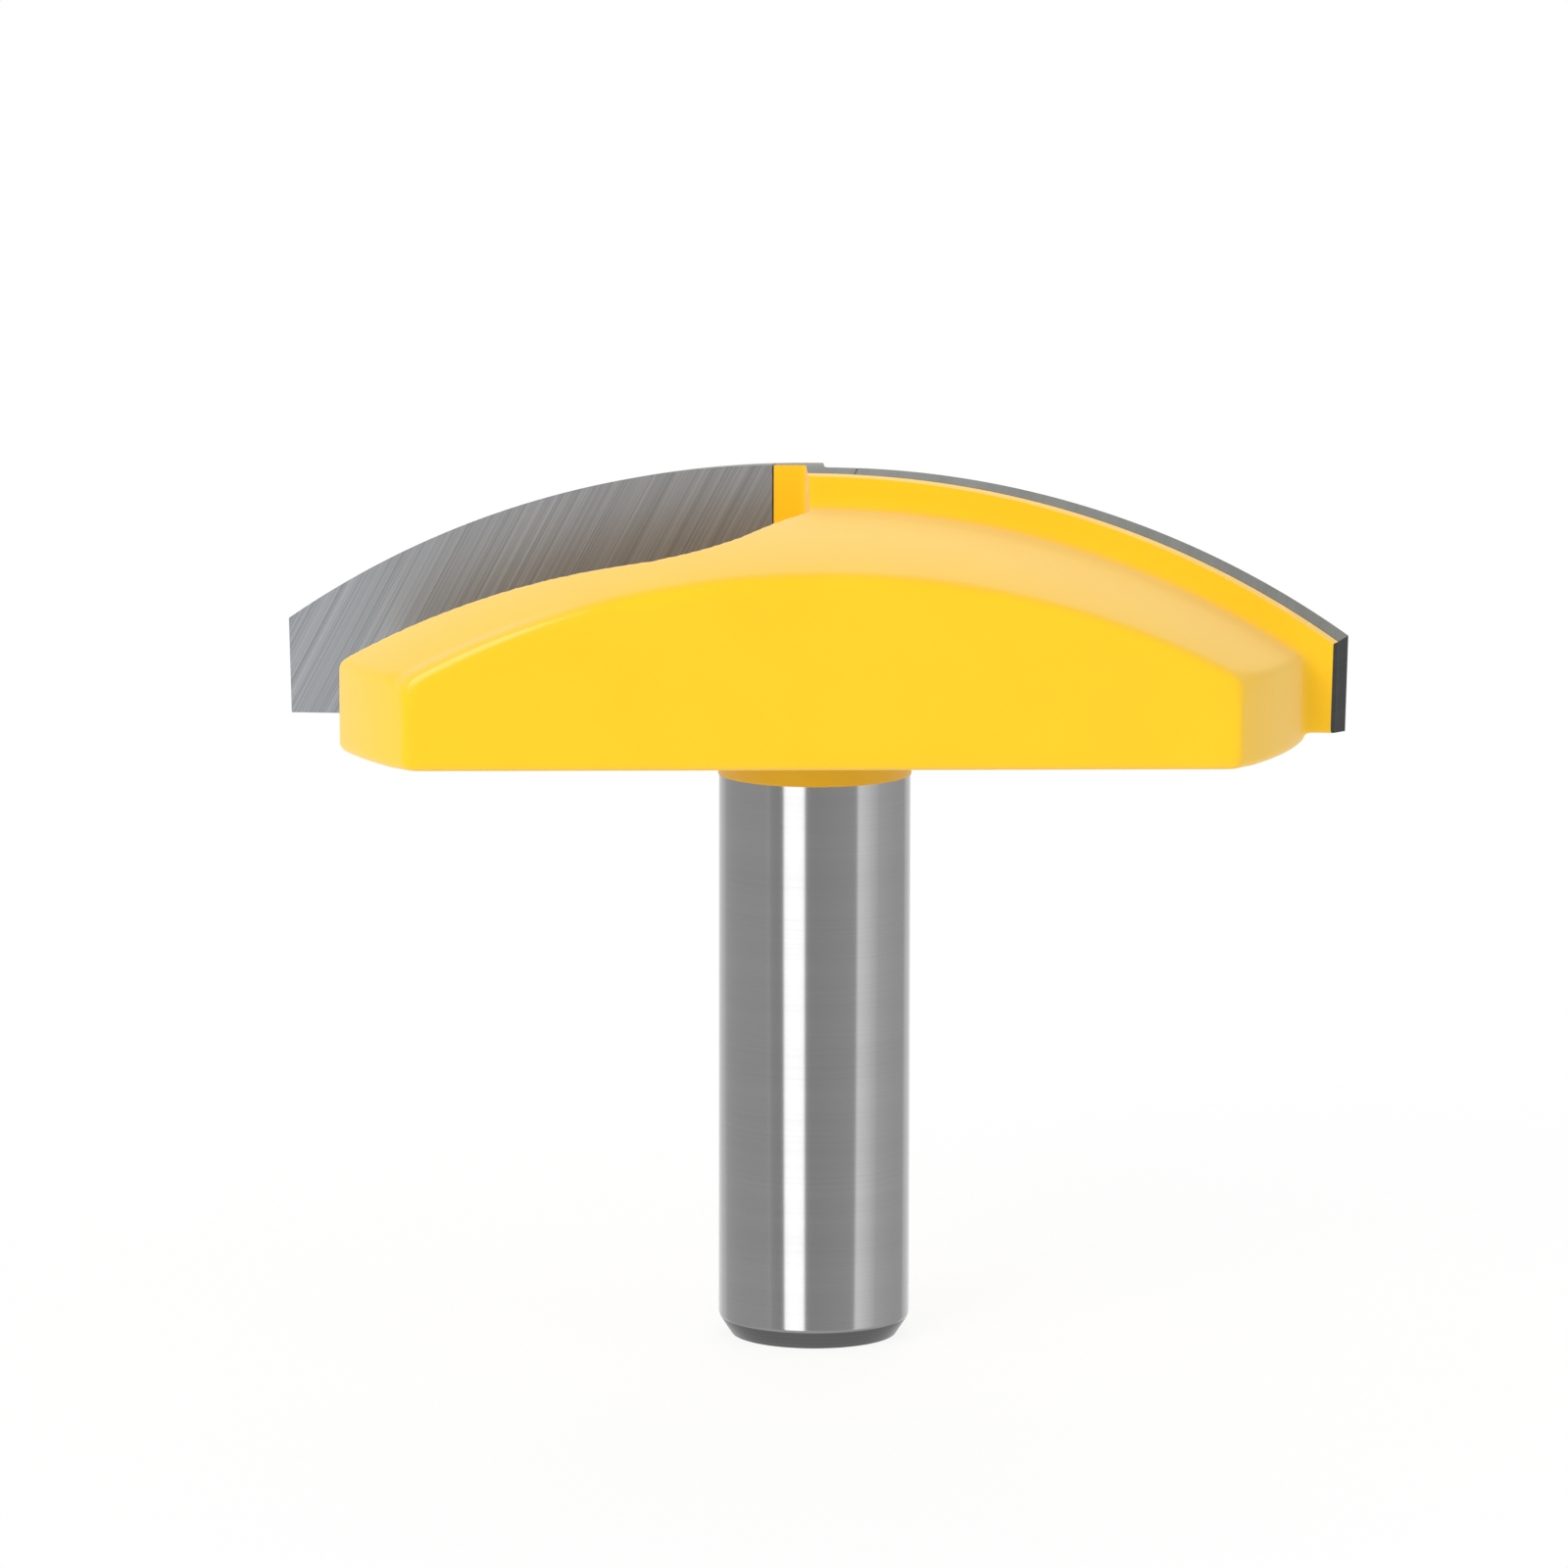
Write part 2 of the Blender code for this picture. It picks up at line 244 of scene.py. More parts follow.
def close_skin(piece: Object) -> None:
    """Merges doubled points, turns every face outwards and leaves edit mode.

    Args:
        piece: The object in edit mode.
    """
    bpy.ops.mesh.select_all(action="SELECT")
    bpy.ops.mesh.remove_doubles(threshold=MERGE_DISTANCE)
    bpy.ops.mesh.normals_make_consistent(inside=False)
    bpy.ops.object.mode_set(mode="OBJECT")


def loft(name: str, rings: Sequence[Sequence[Vector]]) -> Object:
    """Models a solid through closed rings of equally many points.

    Args:
        name: The piece's name.
        rings: The points of each ring, all in the same order.

    Returns:
        The solid, out of edit mode.
    """
    count = len(rings[0])
    piece = start_piece(name, rings[0])
    for ring in rings[1:]:
        draw_run(ring)
    for start in range(0, count * len(rings), count):
        select_points(piece, lambda vertex: vertex.index in (start, start + count - 1))
        bpy.ops.mesh.edge_face_add()
    for start in range(0, count * (len(rings) - 1), count):
        select_points(piece, lambda vertex: start <= vertex.index < start + 2 * count)
        bpy.ops.mesh.bridge_edge_loops()
    for start in (0, count * (len(rings) - 1)):
        select_points(piece, lambda vertex: start <= vertex.index < start + count)
        bpy.ops.mesh.edge_face_add()
    close_skin(piece)
    return piece


def turn_solid(name: str, outline: Outline) -> Object:
    """Models a turned solid: an outline spun about the axis.

    Args:
        name: The piece's name.
        outline: Its points in radius and height, from axis to axis.

    Returns:
        The solid, out of edit mode.
    """
    piece = start_piece(name, [Vector((x, 0.0, z)) for x, z in outline])
    bpy.ops.mesh.select_all(action="SELECT")
    bpy.ops.mesh.spin(steps=TURN_STEPS, angle=tau, center=(0.0, 0.0, 0.0), axis=(0.0, 0.0, 1.0))
    close_skin(piece)
    return piece


def make_active(piece: Object) -> None:
    """Selects this object alone and makes it the active one."""
    bpy.ops.object.select_all(action="DESELECT")
    piece.select_set(True)
    bpy.context.view_layer.objects.active = piece


def apply_modifier(piece: Object, kind: str, settings: dict[str, Any]) -> None:
    """Adds one modifier and applies it.

    Args:
        piece: The object that takes it.
        kind: The modifier's type.
        settings: Values of its properties.
    """
    make_active(piece)
    bpy.ops.object.modifier_add(type=kind)
    modifier = piece.modifiers[-1]
    for name, value in settings.items():
        setattr(modifier, name, value)
    bpy.ops.object.modifier_apply(modifier=modifier.name)


def combine(piece: Object, tool: Object, cut: Cut) -> None:
    """Adds a second solid to a piece, or removes it, and deletes that second solid.

    Args:
        piece: The solid that stays.
        tool: The second solid.
        cut: What it does.
    """
    apply_modifier(piece, "BOOLEAN", {"operation": cut.value, "object": tool, "solver": "MANIFOLD"})
    bpy.data.objects.remove(tool)


def turned_copy(piece: Object, name: str) -> Object:
    """Copies a piece of the left wing to the right wing.

    Args:
        piece: The piece that was modelled.
        name: The copy's name.

    Returns:
        The copy, with its own mesh and with its place in that mesh.
    """
    make_active(piece)
    bpy.ops.object.duplicate(linked=False)
    copy = bpy.context.active_object
    copy.name = name
    copy.data.name = name
    bpy.ops.transform.rotate(value=pi, orient_axis="Z", center_override=(0.0, 0.0, 0.0))
    bpy.ops.object.transform_apply(location=True, rotation=True, scale=True)
    return copy


def shade(piece: Object, hard_edge: float) -> None:
    """Shades a piece smooth, apart from edges where its faces meet at this angle or more."""
    make_active(piece)
    bpy.ops.object.shade_smooth_by_angle(angle=hard_edge)


def hand_over(piece: Object, slot: str, *nodes: str) -> None:
    """Lets a finished piece ride on the bit's one body, in place of its CAD nodes.

    Args:
        piece: The finished piece.
        slot: Not used.
        nodes: The CAD nodes that it stands for.
    """
    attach(piece, "root")
    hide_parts(*nodes)
    log.info("%s: %d faces", piece.name, len(piece.data.polygons))


@dataclass(frozen=True)
class CuttingProfile:
    """The arc to which both wings are ground, with the relief behind it.

    A wing has a frame of its own: s runs outwards along the rake face, and depth runs from the
    rake face to the steel behind the tip. Heights are the CAD frame's.
    """

    shank_length: float = 40.7 * MM
    tip_lift: float = 0.5 * MM
    edge_length: float = 6.34 * MM
    cutting_radius: float = 35.2 * MM
    arc_radius: float = 58.9 * MM
    arc_offset: float = 1.4 * MM
    skew: float = radians(7.0)
    rake_offset: float = 0.49 * MM
    radial_relief: float = radians(11.0)
    axial_relief: float = radians(2.0)
    bottom_relief: float = radians(5.5)
    side_taper: float = radians(1.3)
    land: float = 3.3 * MM
    steps: int = 64

    @property
    def overall_length(self) -> float:
        """Height of the cutting arc's top, which is the bit's whole length."""
        across = self.cutting_radius - self.arc_offset
        fall = self.arc_radius - sqrt(self.arc_radius**2 - across**2)
        return self.shank_length + self.tip_lift + self.edge_length + fall

    @property
    def outwards(self) -> Vector:
        """Direction of s on the left wing."""
        return Vector((-cos(self.skew), sin(self.skew), 0.0))

    @property
    def behind(self) -> Vector:
        """Direction of depth on the left wing."""
        return Vector((sin(self.skew), cos(self.skew), 0.0))

    def place(self, s: float, depth: float, z: float) -> Vector:
        """Turns a point of the left wing's frame to the CAD frame."""
        return self.outwards * s + self.behind * (self.rake_offset + depth) + Vector((0.0, 0.0, z))

    def ring(self, depth: float, outline: Outline) -> list[Vector]:
        """Places one outline of the left wing, in s and z, at its depth in the CAD frame."""
        return [self.place(s, depth, z) for s, z in outline]

    def arc_height(self, radius: float, inset: float) -> float:
        """Gives the height of an arc that lies inside the cutting arc.

        Args:
            radius: Distance from the axis.
            inset: How far inside the cutting arc the arc lies.

        Returns:
            The height.
        """
        across = radius - self.arc_offset
        drop = self.arc_radius - sqrt((self.arc_radius - inset) ** 2 - across**2)
        return self.overall_length - drop

    def reach(self, radius: float, depth: float) -> float:
        """Gives s at this radius and depth."""
        return sqrt(radius**2 - (self.rake_offset + depth) ** 2)

    def bottom(self, depth: float) -> float:
        """Height of the lower edge of what is ground, at this depth."""
        return self.shank_length + self.tip_lift + max(depth, 0.0) * tan(self.bottom_relief)

    def ground_edge(self, depth: float, inner_end: float, bottom: float, stock: float = 0.0) -> Outline:
        """Gives the top and the outer edge of a ground wing at one depth.

        Args:
            depth: Distance behind the rake face.
            inner_end: s at which the edge starts.
            bottom: Height at which it ends.
            stock: How far outside the finished edge it lies, before grinding.

        Returns:
            Points in s and z, from the inner end over the top and down to the bottom.
        """
        shift = max(depth, 0.0) * tan(self.radial_relief)
        fall = max(depth, 0.0) * tan(self.axial_relief)
        outer = self.reach(self.cutting_radius - shift, depth)
        top = [
            (s, self.arc_height(hypot(s, self.rake_offset + depth) + shift, 0.0) - fall + stock)
            for s in spaced(inner_end, outer, self.steps)
        ]
        corner = [(outer + stock, top[-1][1] - stock)] if stock else []
        taper = (top[-1][1] - stock - bottom) * tan(self.side_taper)
        return top + corner + [(outer + stock - taper, bottom)]


@dataclass(frozen=True)
class GlossEnamel:
    """Sprayed and baked gloss enamel, such as tool makers use: a deep warm yellow.

    It turns pale where the eye grazes it, and a faint orange peel softens what it mirrors. Real
    orange peel is 1 to 2 mm from bump to bump. The paint gathers to a glossier bead along each
    flat's upper edge, on the gullet's side. Under the head and on the collar the colour is painted
    darker and more orange, as painted shade from the head above.
    """

    colour: str = "#FAC803"
    deep_colour: str = "#F6C000"
    # painted shade: the darker colour that the collar and the underside take, for the head's shade
    under_head_shade_colour: str = "#DFAF0E"
    shade_full_below: float = 40.1 * MM
    shade_gone_above: float = 40.9 * MM
    roughness: float = 0.5
    ior: float = 1.4
    specular_level: float = 0.25
    veil: float = 0.34
    veil_roughness: float = 0.6
    bead_roughness: float = 0.08
    bead_starts: tuple[float, float] = (17.1 * MM, 17.8 * MM)
    bead_ends: tuple[float, float] = (18.48 * MM, 18.38 * MM)
    bead_lowest: tuple[float, float] = (45.8 * MM, 46.5 * MM)
    bead_side: tuple[float, float] = (14.0 * MM * 18.0 * MM, 20.0 * MM * 18.0 * MM)
    peel_size: float = 1.4 * MM
    peel_height: float = 0.004 * MM
    shade_size: float = 9.0 * MM

    def make(self) -> Material:
        """Builds the material.

        Returns:
            The material.
        """
        material, tree, shader = new_material("gloss_enamel")
        place = add_node(tree, "TexCoord", {}, {}).outputs["Object"]
        parts = add_node(tree, "SeparateXYZ", {}, {0: place}).outputs
        shades, peel = (
            add_node(tree, "TexNoise", {}, {"Vector": place, "Scale": 1 / size, "Detail": detail})
            for size, detail in ((self.shade_size, 2.0), (self.peel_size, 1.0))
        )
        tints = {0: shades.outputs["Fac"], 6: linear(self.colour), 7: linear(self.deep_colour)}
        full = add_node(tree, "Mix", {"data_type": "RGBA"}, tints).outputs[2]
        # Painted shade: this share runs from 0 below the underside, in the head's shade, to 1 just above
        # it.
        rise = {"Value": parts["Z"], "From Min": self.shade_full_below, "From Max": self.shade_gone_above}
        thickness = add_node(tree, "MapRange", {}, rise).outputs["Result"]
        shade_tints = {0: thickness, 6: linear(self.under_head_shade_colour), 7: full}
        tone_and_shade = add_node(tree, "Mix", {"data_type": "RGBA"}, shade_tints).outputs[2]
        plain = {
            "Roughness": self.roughness,
            "IOR": self.ior,
            "Specular IOR Level": self.specular_level,
            "Sheen Weight": self.veil,
            "Sheen Roughness": self.veil_roughness,
            "Coat Roughness": self.bead_roughness,
        }
        feed_shader(tree, tone_and_shade, peel.outputs["Fac"], self.peel_height, plain)
        tree.links.new(self.bead(tree, parts), shader.inputs["Coat Weight"])
        return material

    def bead(self, tree: NodeTree, parts: bpy.types.bpy_prop_collection) -> NodeSocket:
        """Adds the gloss of the bead of paint.

        Args:
            tree: The material's node tree.
            parts: The sockets of the place's X, Y and Z.

        Returns:
            A socket that is 1 on the bead and 0 elsewhere.
        """
        outwards = add_node(tree, "Math", {"operation": "ABSOLUTE"}, {0: parts["Y"]}).outputs[0]
        side = add_node(tree, "Math", {"operation": "MULTIPLY"}, {0: parts["X"], 1: parts["Y"]})
        share: NodeSocket | float = 1.0
        for value, (none, full) in (
            (outwards, self.bead_starts),
            (outwards, self.bead_ends),
            (parts["Z"], self.bead_lowest),
            (side.outputs[0], self.bead_side),
        ):
            inside = add_node(tree, "MapRange", {}, {"Value": value, "From Min": none, "From Max": full})
            factors = {0: inside.outputs["Result"], 1: share}
            share = add_node(tree, "Math", {"operation": "MULTIPLY"}, factors).outputs[0]
        return share


@dataclass(frozen=True)
class GroundMetal:
    """Metal finished on a grinding wheel: straight parallel scratches of uneven depth.

    The scratches catch the light along their length, which gives the streaky grey of a ground
    face. Real ones are 0.02 to 0.05 mm apart, too fine for the render, so they are drawn coarser.
    Broader bands come from the wheel's own unevenness.
    """

    name: str
    colour: str
    dark_colour: str
    roughness: float
    across: Vector
    line_spacing: float = 0.28 * MM
    line_length: float = 9.0 * MM
    scratch_depth: float = 0.004 * MM
    band_spacing: float = 1.9 * MM
    band_share: float = 0.5
    metallic: float = 1.0
    dark_end: float = 0.35
    pale_end: float = 0.65
    line_roughness: float = 0.6

    def make(self, turn: float = 0.0) -> Material:
        """Builds the material.

        Args:
            turn: How far the wing that takes it is turned about the axis.

        Returns:
            The material.
        """
        material, tree, _ = new_material(self.name)
        rotation = self.axes(turn).to_euler("XYZ")
        place = add_node(tree, "TexCoord", {}, {}).outputs["Object"]
        turned = add_node(tree, "Mapping", {}, {"Vector": place, "Rotation": rotation}).outputs["Vector"]
        fine = self.stretched_noise(tree, turned, self.line_spacing, self.line_length, detail=3.0)
        broad = self.stretched_noise(tree, turned, self.band_spacing, self.line_length * 2, detail=1.0)
        both = add_node(tree, "Mix", {}, {0: self.band_share, 2: fine, 3: broad}).outputs[0]
        ends = {"Value": both, "From Min": self.dark_end, "From Max": self.pale_end}
        spread = add_node(tree, "MapRange", {}, ends).outputs["Result"]
        tints = {0: spread, 6: linear(self.dark_colour), 7: linear(self.colour)}
        tint = add_node(tree, "Mix", {"data_type": "RGBA"}, tints).outputs[2]
        plain = {"Metallic": self.metallic, "Roughness": self.roughness}
        feed_shader(tree, tint, fine, self.scratch_depth, plain)
        return material

    def axes(self, turn: float) -> Matrix:
        """Gives the rotation that brings the direction across the scratches to X.

        Args:
            turn: How far the wing is turned about the axis.

        Returns:
            The rotation.
        """
        across = Matrix.Rotation(turn, 3, "Z") @ self.across.normalized()
        other = across.orthogonal().normalized()
        return Matrix((across, other, across.cross(other)))

    def stretched_noise(
        self, tree: NodeTree, place: NodeSocket, spacing: float, length: float, detail: float
    ) -> NodeSocket:
        """Adds a noise drawn out into lines.

        Args:
            tree: The material's node tree.
            place: Where on the piece, turned so that X runs across the lines.
            spacing: Distance between lines.
            length: Length of a line.
            detail: How many finer layers the noise has.

        Returns:
            The socket of its value.
        """
        shrink = (1 / spacing, 1 / length, 1 / length)
        drawn = add_node(tree, "VectorMath", {"operation": "MULTIPLY"}, {0: place, 1: shrink}).outputs[0]
        values = {"Vector": drawn, "Scale": 1.0, "Detail": detail, "Roughness": self.line_roughness}
        return add_node(tree, "TexNoise", {}, values).outputs["Fac"]


@dataclass
class Shank:
    """The plain ground shank, chamfered at its end, which runs up into the painted collar."""

    radius: float = 6.35 * MM
    chamfer_height: float = 1.3 * MM
    chamfer_depth: float = 0.85 * MM
    edge_break: float = 0.12 * MM
    top: float = 38.8 * MM
    hard_edge: float = radians(25.0)

    def build(self, ground: Material, turned: Material) -> Object:
        """Models the shank by spinning its outline.

        Args:
            ground: The finish of its round side.
            turned: The finish of its chamfer and its end face, darkened as painted shade.

        Returns:
            The shank.
        """
        slope = Vector((self.chamfer_depth, self.chamfer_height)).normalized() * self.edge_break
        outline = [
            (0.0, self.top),
            (self.radius, self.top),
            (self.radius, self.chamfer_height + self.edge_break),
            (self.radius - slope.x, self.chamfer_height - slope.y),
            (self.radius - self.chamfer_depth, 0.0),
            (0.0, 0.0),
        ]
        piece = turn_solid("shank", outline)
        piece.data.materials.append(ground)
        piece.data.materials.append(turned)
        assign_slots(piece, lambda centre, normal: normal.z < -LYING)
        shade(piece, self.hard_edge)
        hand_over(piece, "painted_steel", "body")
        return piece


@dataclass
class CarbideTip:
    """A brazed tungsten carbide tip: flat rake face, ground arc with relief, lower arc."""

    profile: CuttingProfile
    thickness: float = 2.3 * MM
    height: float = 9.0 * MM
    inner_end: float = 2.9 * MM
    braze_gap: float = 0.1 * MM
    hard_edge: float = radians(25.0)

    def outline(self, depth: float, stock: float) -> Outline:
        """Gives the tip's whole outline.

        Args:
            depth: Distance behind the rake face.
            stock: How far it stands out past the ground top, outer edge and lower end.

        Returns:
            Points in s and z.
        """
        profile = self.profile
        bottom = profile.bottom(depth) - stock
        edge = profile.ground_edge(depth, self.inner_end, bottom, stock)
        lower = []
        for s in spaced(edge[-1][0], self.inner_end, profile.steps)[1:]:
            arc = profile.arc_height(hypot(s, profile.rake_offset), 0.0) - self.height
            lower.append((s, max(arc, bottom)))
        return edge + lower

    def shape(self, name: str, depths: Sequence[float], stock: float = 0.0) -> Object:
        """Models the tip between its front and its back, with stock on its ground faces."""
        return loft(name, [self.profile.ring(depth, self.outline(depth, stock)) for depth in depths])

    def build(self, finishes: dict[WingSide, Sequence[Material]]) -> list[Object]:
        """Models both tips.

        Args:
            finishes: For each side, the finish of the rake face, the arc and the outer edge.

        Returns:
            The left tip and the right one.
        """
        left = self.shape("carbide_tip_left_ground", (0.0, self.thickness))
        for material in finishes[WingSide.LEFT]:
            left.data.materials.append(material)
        outwards = self.profile.outwards
        assign_slots(
            left,
            lambda centre, normal: normal.z > LYING,
            lambda centre, normal: normal.dot(outwards) > FACING,
        )
        tips = {WingSide.LEFT: left, WingSide.RIGHT: turned_copy(left, "carbide_tip_right_ground")}
        for side, tip in tips.items():
            for index, material in enumerate(finishes[side]):
                tip.data.materials[index] = material
            shade(tip, self.hard_edge)
            hand_over(tip, "carbide", f"carbide_tip_{side.value}")
        return list(tips.values())


@dataclass
class PaintedHead:
    """The domed steel head with its flats, ribs and gullets, painted down to a line on the shank.

    It is shaped with stock left on the ribs, its edges are softened as paint softens them, and
    then the ribs are ground and the tips' seats cut, which leaves those edges crisp.
    """

    profile: CuttingProfile
    shank: Shank
    tip: CarbideTip
    radius: float = 32.6 * MM
    crown_drop: float = 2.2 * MM
    crown_steps: int = 48
    crown_edge_radius: float = 0.7 * MM
    underside_edge_radius: float = 0.45 * MM
    edge_steps: int = 6
    flat_width: float = 37.0 * MM
    paint_thickness: float = 0.06 * MM
    paint_line: float = 37.8 * MM
    neck_fillet: float = 1.2 * MM
    neck_steps: int = 10
    collar_drop: float = 0.02 * MM
    collar_root: float = 1.5 * MM
    rib_overlap: float = 0.6 * MM
    rib_foot_fillet: float = 0.8 * MM
    rib_foot_root: float = 0.05 * MM
    grinding_stock: float = 0.9 * MM
    wheel_front: float = 1.2 * MM
    wheel_back: float = 0.6 * MM
    overcut: float = 3.0 * MM
    gullet_throat: float = 13.5 * MM
    gullet_flare: float = radians(4.4)
    gullet_end_angle: float = radians(121.0)
    gullet_end_start: float = 0.45 * MM
    gullet_corner_radius: float = 8.0 * MM
    gullet_corner_steps: int = 24
    gullet_hub_depth: float = 10.8 * MM
    gullet_floor_slope: float = radians(18.0)
    gullet_floor_radius: float = 1.5 * MM
    gullet_height: float = 30.0 * MM
    skin_depth: int = 9
    skin_scale: float = 0.9
    paint_passes: int = 32
    deburring_passes: int = 45
    deburring_rounds: int = 2
    deburred_width: float = 1.9 * MM
    lower_edge_share: float = 0.4
    pass_strength: float = 0.5
    kept_share: float = 0.25
    hard_edge: float = radians(40.0)
    materials: list[Material] = field(default_factory=list)

    def build(self) -> Object:
        """Models the head.

        Returns:
            The painted head.
        """
        head = turn_solid("painted_head", self.blank_outline())
        self.mill_flats(head)
        rib = self.shape_rib()
        gullet = self.shape_gullet()
        other_rib = turned_copy(rib, "rib_right")
        other_gullet = turned_copy(gullet, "gullet_right")
        for tool in (rib, other_rib):
            combine(head, tool, Cut.ADD)
        for tool in (gullet, other_gullet):
            combine(head, tool, Cut.REMOVE)
        self.soften(head)
        combine(head, turn_solid("collar", self.collar_outline()), Cut.ADD)
        head.data.materials.clear()
        for material in self.materials:
            head.data.materials.append(material)
        wheel = self.shape_wheel()
        other_wheel = turned_copy(wheel, "wheel_right")
        seat = self.shape_seat()
        other_seat = turned_copy(seat, "seat_right")
        for tool in (wheel, other_wheel, seat, other_seat):
            combine(head, tool, Cut.REMOVE)
        shade(head, self.hard_edge)
        hand_over(head, "painted_steel", "body")
        return head

    def blank_outline(self) -> Outline:
        """Gives the turned outline, from the top of the crown to the axis at the underside."""
        profile = self.profile
        edge = self.crown_edge_radius
        edge_x = self.radius - edge
        edge_z = profile.arc_height(edge_x, self.crown_drop + edge)
        crown_radius = profile.arc_radius - self.crown_drop
        slope = asin((edge_x - profile.arc_offset) / (crown_radius - edge))
        crown = [
            (radius, profile.arc_height(radius, self.crown_drop))
            for radius in spaced(0.0, edge_x + edge * sin(slope), self.crown_steps)
        ]
        rim = corner_arc((edge_x, edge_z), edge, 90 - degrees(slope), 0, self.edge_steps)[1:]
        low = self.underside_edge_radius
        low_centre = (self.radius - low, profile.shank_length + low)
        underside = corner_arc(low_centre, low, 0, -90, self.edge_steps)
        return crown + rim + underside + [(0.0, profile.shank_length)]

    def collar_outline(self) -> Outline:
        """Gives the painted collar, with the fillet of the neck and the masked edge of the paint."""
        under = self.profile.shank_length - self.collar_drop
        collar_radius = self.shank.radius + self.paint_thickness
        fillet_centre = (collar_radius + self.neck_fillet, under - self.neck_fillet)
        inside = under + self.collar_root
        outline = [(0.0, inside), (fillet_centre[0], inside)]
        outline += corner_arc(fillet_centre, self.neck_fillet, 90, 180, self.neck_steps)
        return outline + [(collar_radius, self.paint_line), (0.0, self.paint_line)]

    def mill_flats(self, head: Object) -> None:
        """Cuts both sides of the blank flat.

        Args:
            head: The turned blank.
        """
        make_active(head)
        bpy.ops.object.mode_set(mode="EDIT")
        for side in (-1.0, 1.0):
            bpy.ops.mesh.select_all(action="SELECT")
            bpy.ops.mesh.bisect(
                plane_co=(0.0, side * self.flat_width / 2, 0.0),
                plane_no=(0.0, side, 0.0),
                use_fill=True,
                clear_outer=True,
            )
        close_skin(head)

    def foot_outline(self, depth: float, height: float, inner_end: float) -> Outline:
        """Gives one level of the fillet at the rib's foot.

        Args:
            depth: Distance behind the rake face.
            height: How far outside the crown and the rim it lies.
            inner_end: s at which it starts.

        Returns:
            Points in s and z, as many as the ground edge with its stock has.
        """
        profile = self.profile
        outer = profile.reach(self.radius + height, depth)
        top = [
            (s, profile.arc_height(hypot(s, profile.rake_offset + depth), self.crown_drop - height))
            for s in spaced(inner_end, outer, profile.steps)
        ]
        bottom = profile.bottom(profile.land)
        return top + [(outer, (top[-1][1] + bottom) / 2), (outer, bottom)]

    def shape_rib(self) -> Object:
        """Models the rib behind a tip, with stock for grinding and a fillet at its foot.

        Returns:
            The left rib.
        """
        profile = self.profile
        inner_end = -self.rib_overlap - self.overcut
        front = -2 * profile.rake_offset - self.rib_overlap
        levels = [
            (depth, profile.ground_edge(depth, inner_end, profile.bottom(depth), self.grinding_stock))
            for depth in (front, 0.0, profile.land)
        ]
        for angle in spaced(0.0, pi / 2, self.edge_steps):
            depth = profile.land + self.rib_foot_fillet * (1 - cos(angle)) + self.rib_foot_root
            height = self.rib_foot_fillet * (1 - sin(angle)) - self.rib_foot_root
            levels.append((depth, self.foot_outline(depth, height, inner_end)))
        rings = [profile.ring(depth, outline + [(inner_end, outline[-1][1])]) for depth, outline in levels]
        return loft("rib_left", rings)

    def gullet_plan(self) -> list[Vector]:
        """Gives the gullet's outline from above.

        Returns:
            Points of the left wing in s and n, the distance behind the axis.
        """
        profile = self.profile
        slant = Vector((1.0, sin(profile.skew))) / cos(profile.skew)
        near, far = profile.rake_offset, -(profile.rake_offset + profile.land + self.rib_foot_fillet)
        rake_side = Vector((self.rib_overlap * slant.x + near * slant.y, near))
        end_n = far - self.gullet_end_start
        end_start = Vector((self.rib_overlap * slant.x + end_n * slant.y, end_n))
        rim_s = sqrt(self.radius**2 - (profile.rake_offset - self.gullet_throat) ** 2)
        rim_point = Vector((rim_s, profile.rake_offset - self.gullet_throat))
        inwards = Vector((-cos(self.gullet_flare), -sin(self.gullet_flare)))
        along = Vector((-cos(self.gullet_end_angle), -sin(self.gullet_end_angle)))
        apart = rim_point - end_start
        across = along.x * inwards.y - along.y * inwards.x
        corner = end_start + along * (apart.x * inwards.y - apart.y * inwards.x) / across
        turn = along.angle(-inwards)
        first = corner - along * self.gullet_corner_radius * tan(turn / 2)
        centre = first + Vector((-along.y, along.x)) * self.gullet_corner_radius
        angles = spaced(0.0, turn, self.gullet_corner_steps)
        rounded = [centre + Matrix.Rotation(angle, 2) @ (first - centre) for angle in angles]
        reach = profile.cutting_radius + self.overcut
        far_end = rim_point - inwards * (reach - rim_point.x)
        return [Vector((reach, near)), rake_side, end_start, *rounded, far_end]

    def shape_gullet(self) -> Object:
        """Models the space of a gullet: upright walls and a rounded floor that falls outwards.

        Returns:
            The left gullet's space.
        """
        profile = self.profile
        hub = profile.overall_length - self.gullet_hub_depth
        fall = tan(self.gullet_floor_slope)
        floor = [
            profile.place(point.x, point.y - profile.rake_offset, hub - point.x * fall)
            for point in self.gullet_plan()
        ]
        piece = start_piece("gullet_left", floor)
        bpy.ops.mesh.select_all(action="SELECT")
        bpy.ops.mesh.edge_face_add()
        rise = (0.0, 0.0, self.gullet_height)
        bpy.ops.mesh.extrude_region_move(TRANSFORM_OT_translate={"value": rise})
        select_points(piece, lambda vertex: vertex.index < len(floor))
        bpy.ops.mesh.bevel(offset=self.gullet_floor_radius, segments=self.edge_steps, affect="EDGES")
        close_skin(piece)
        return piece

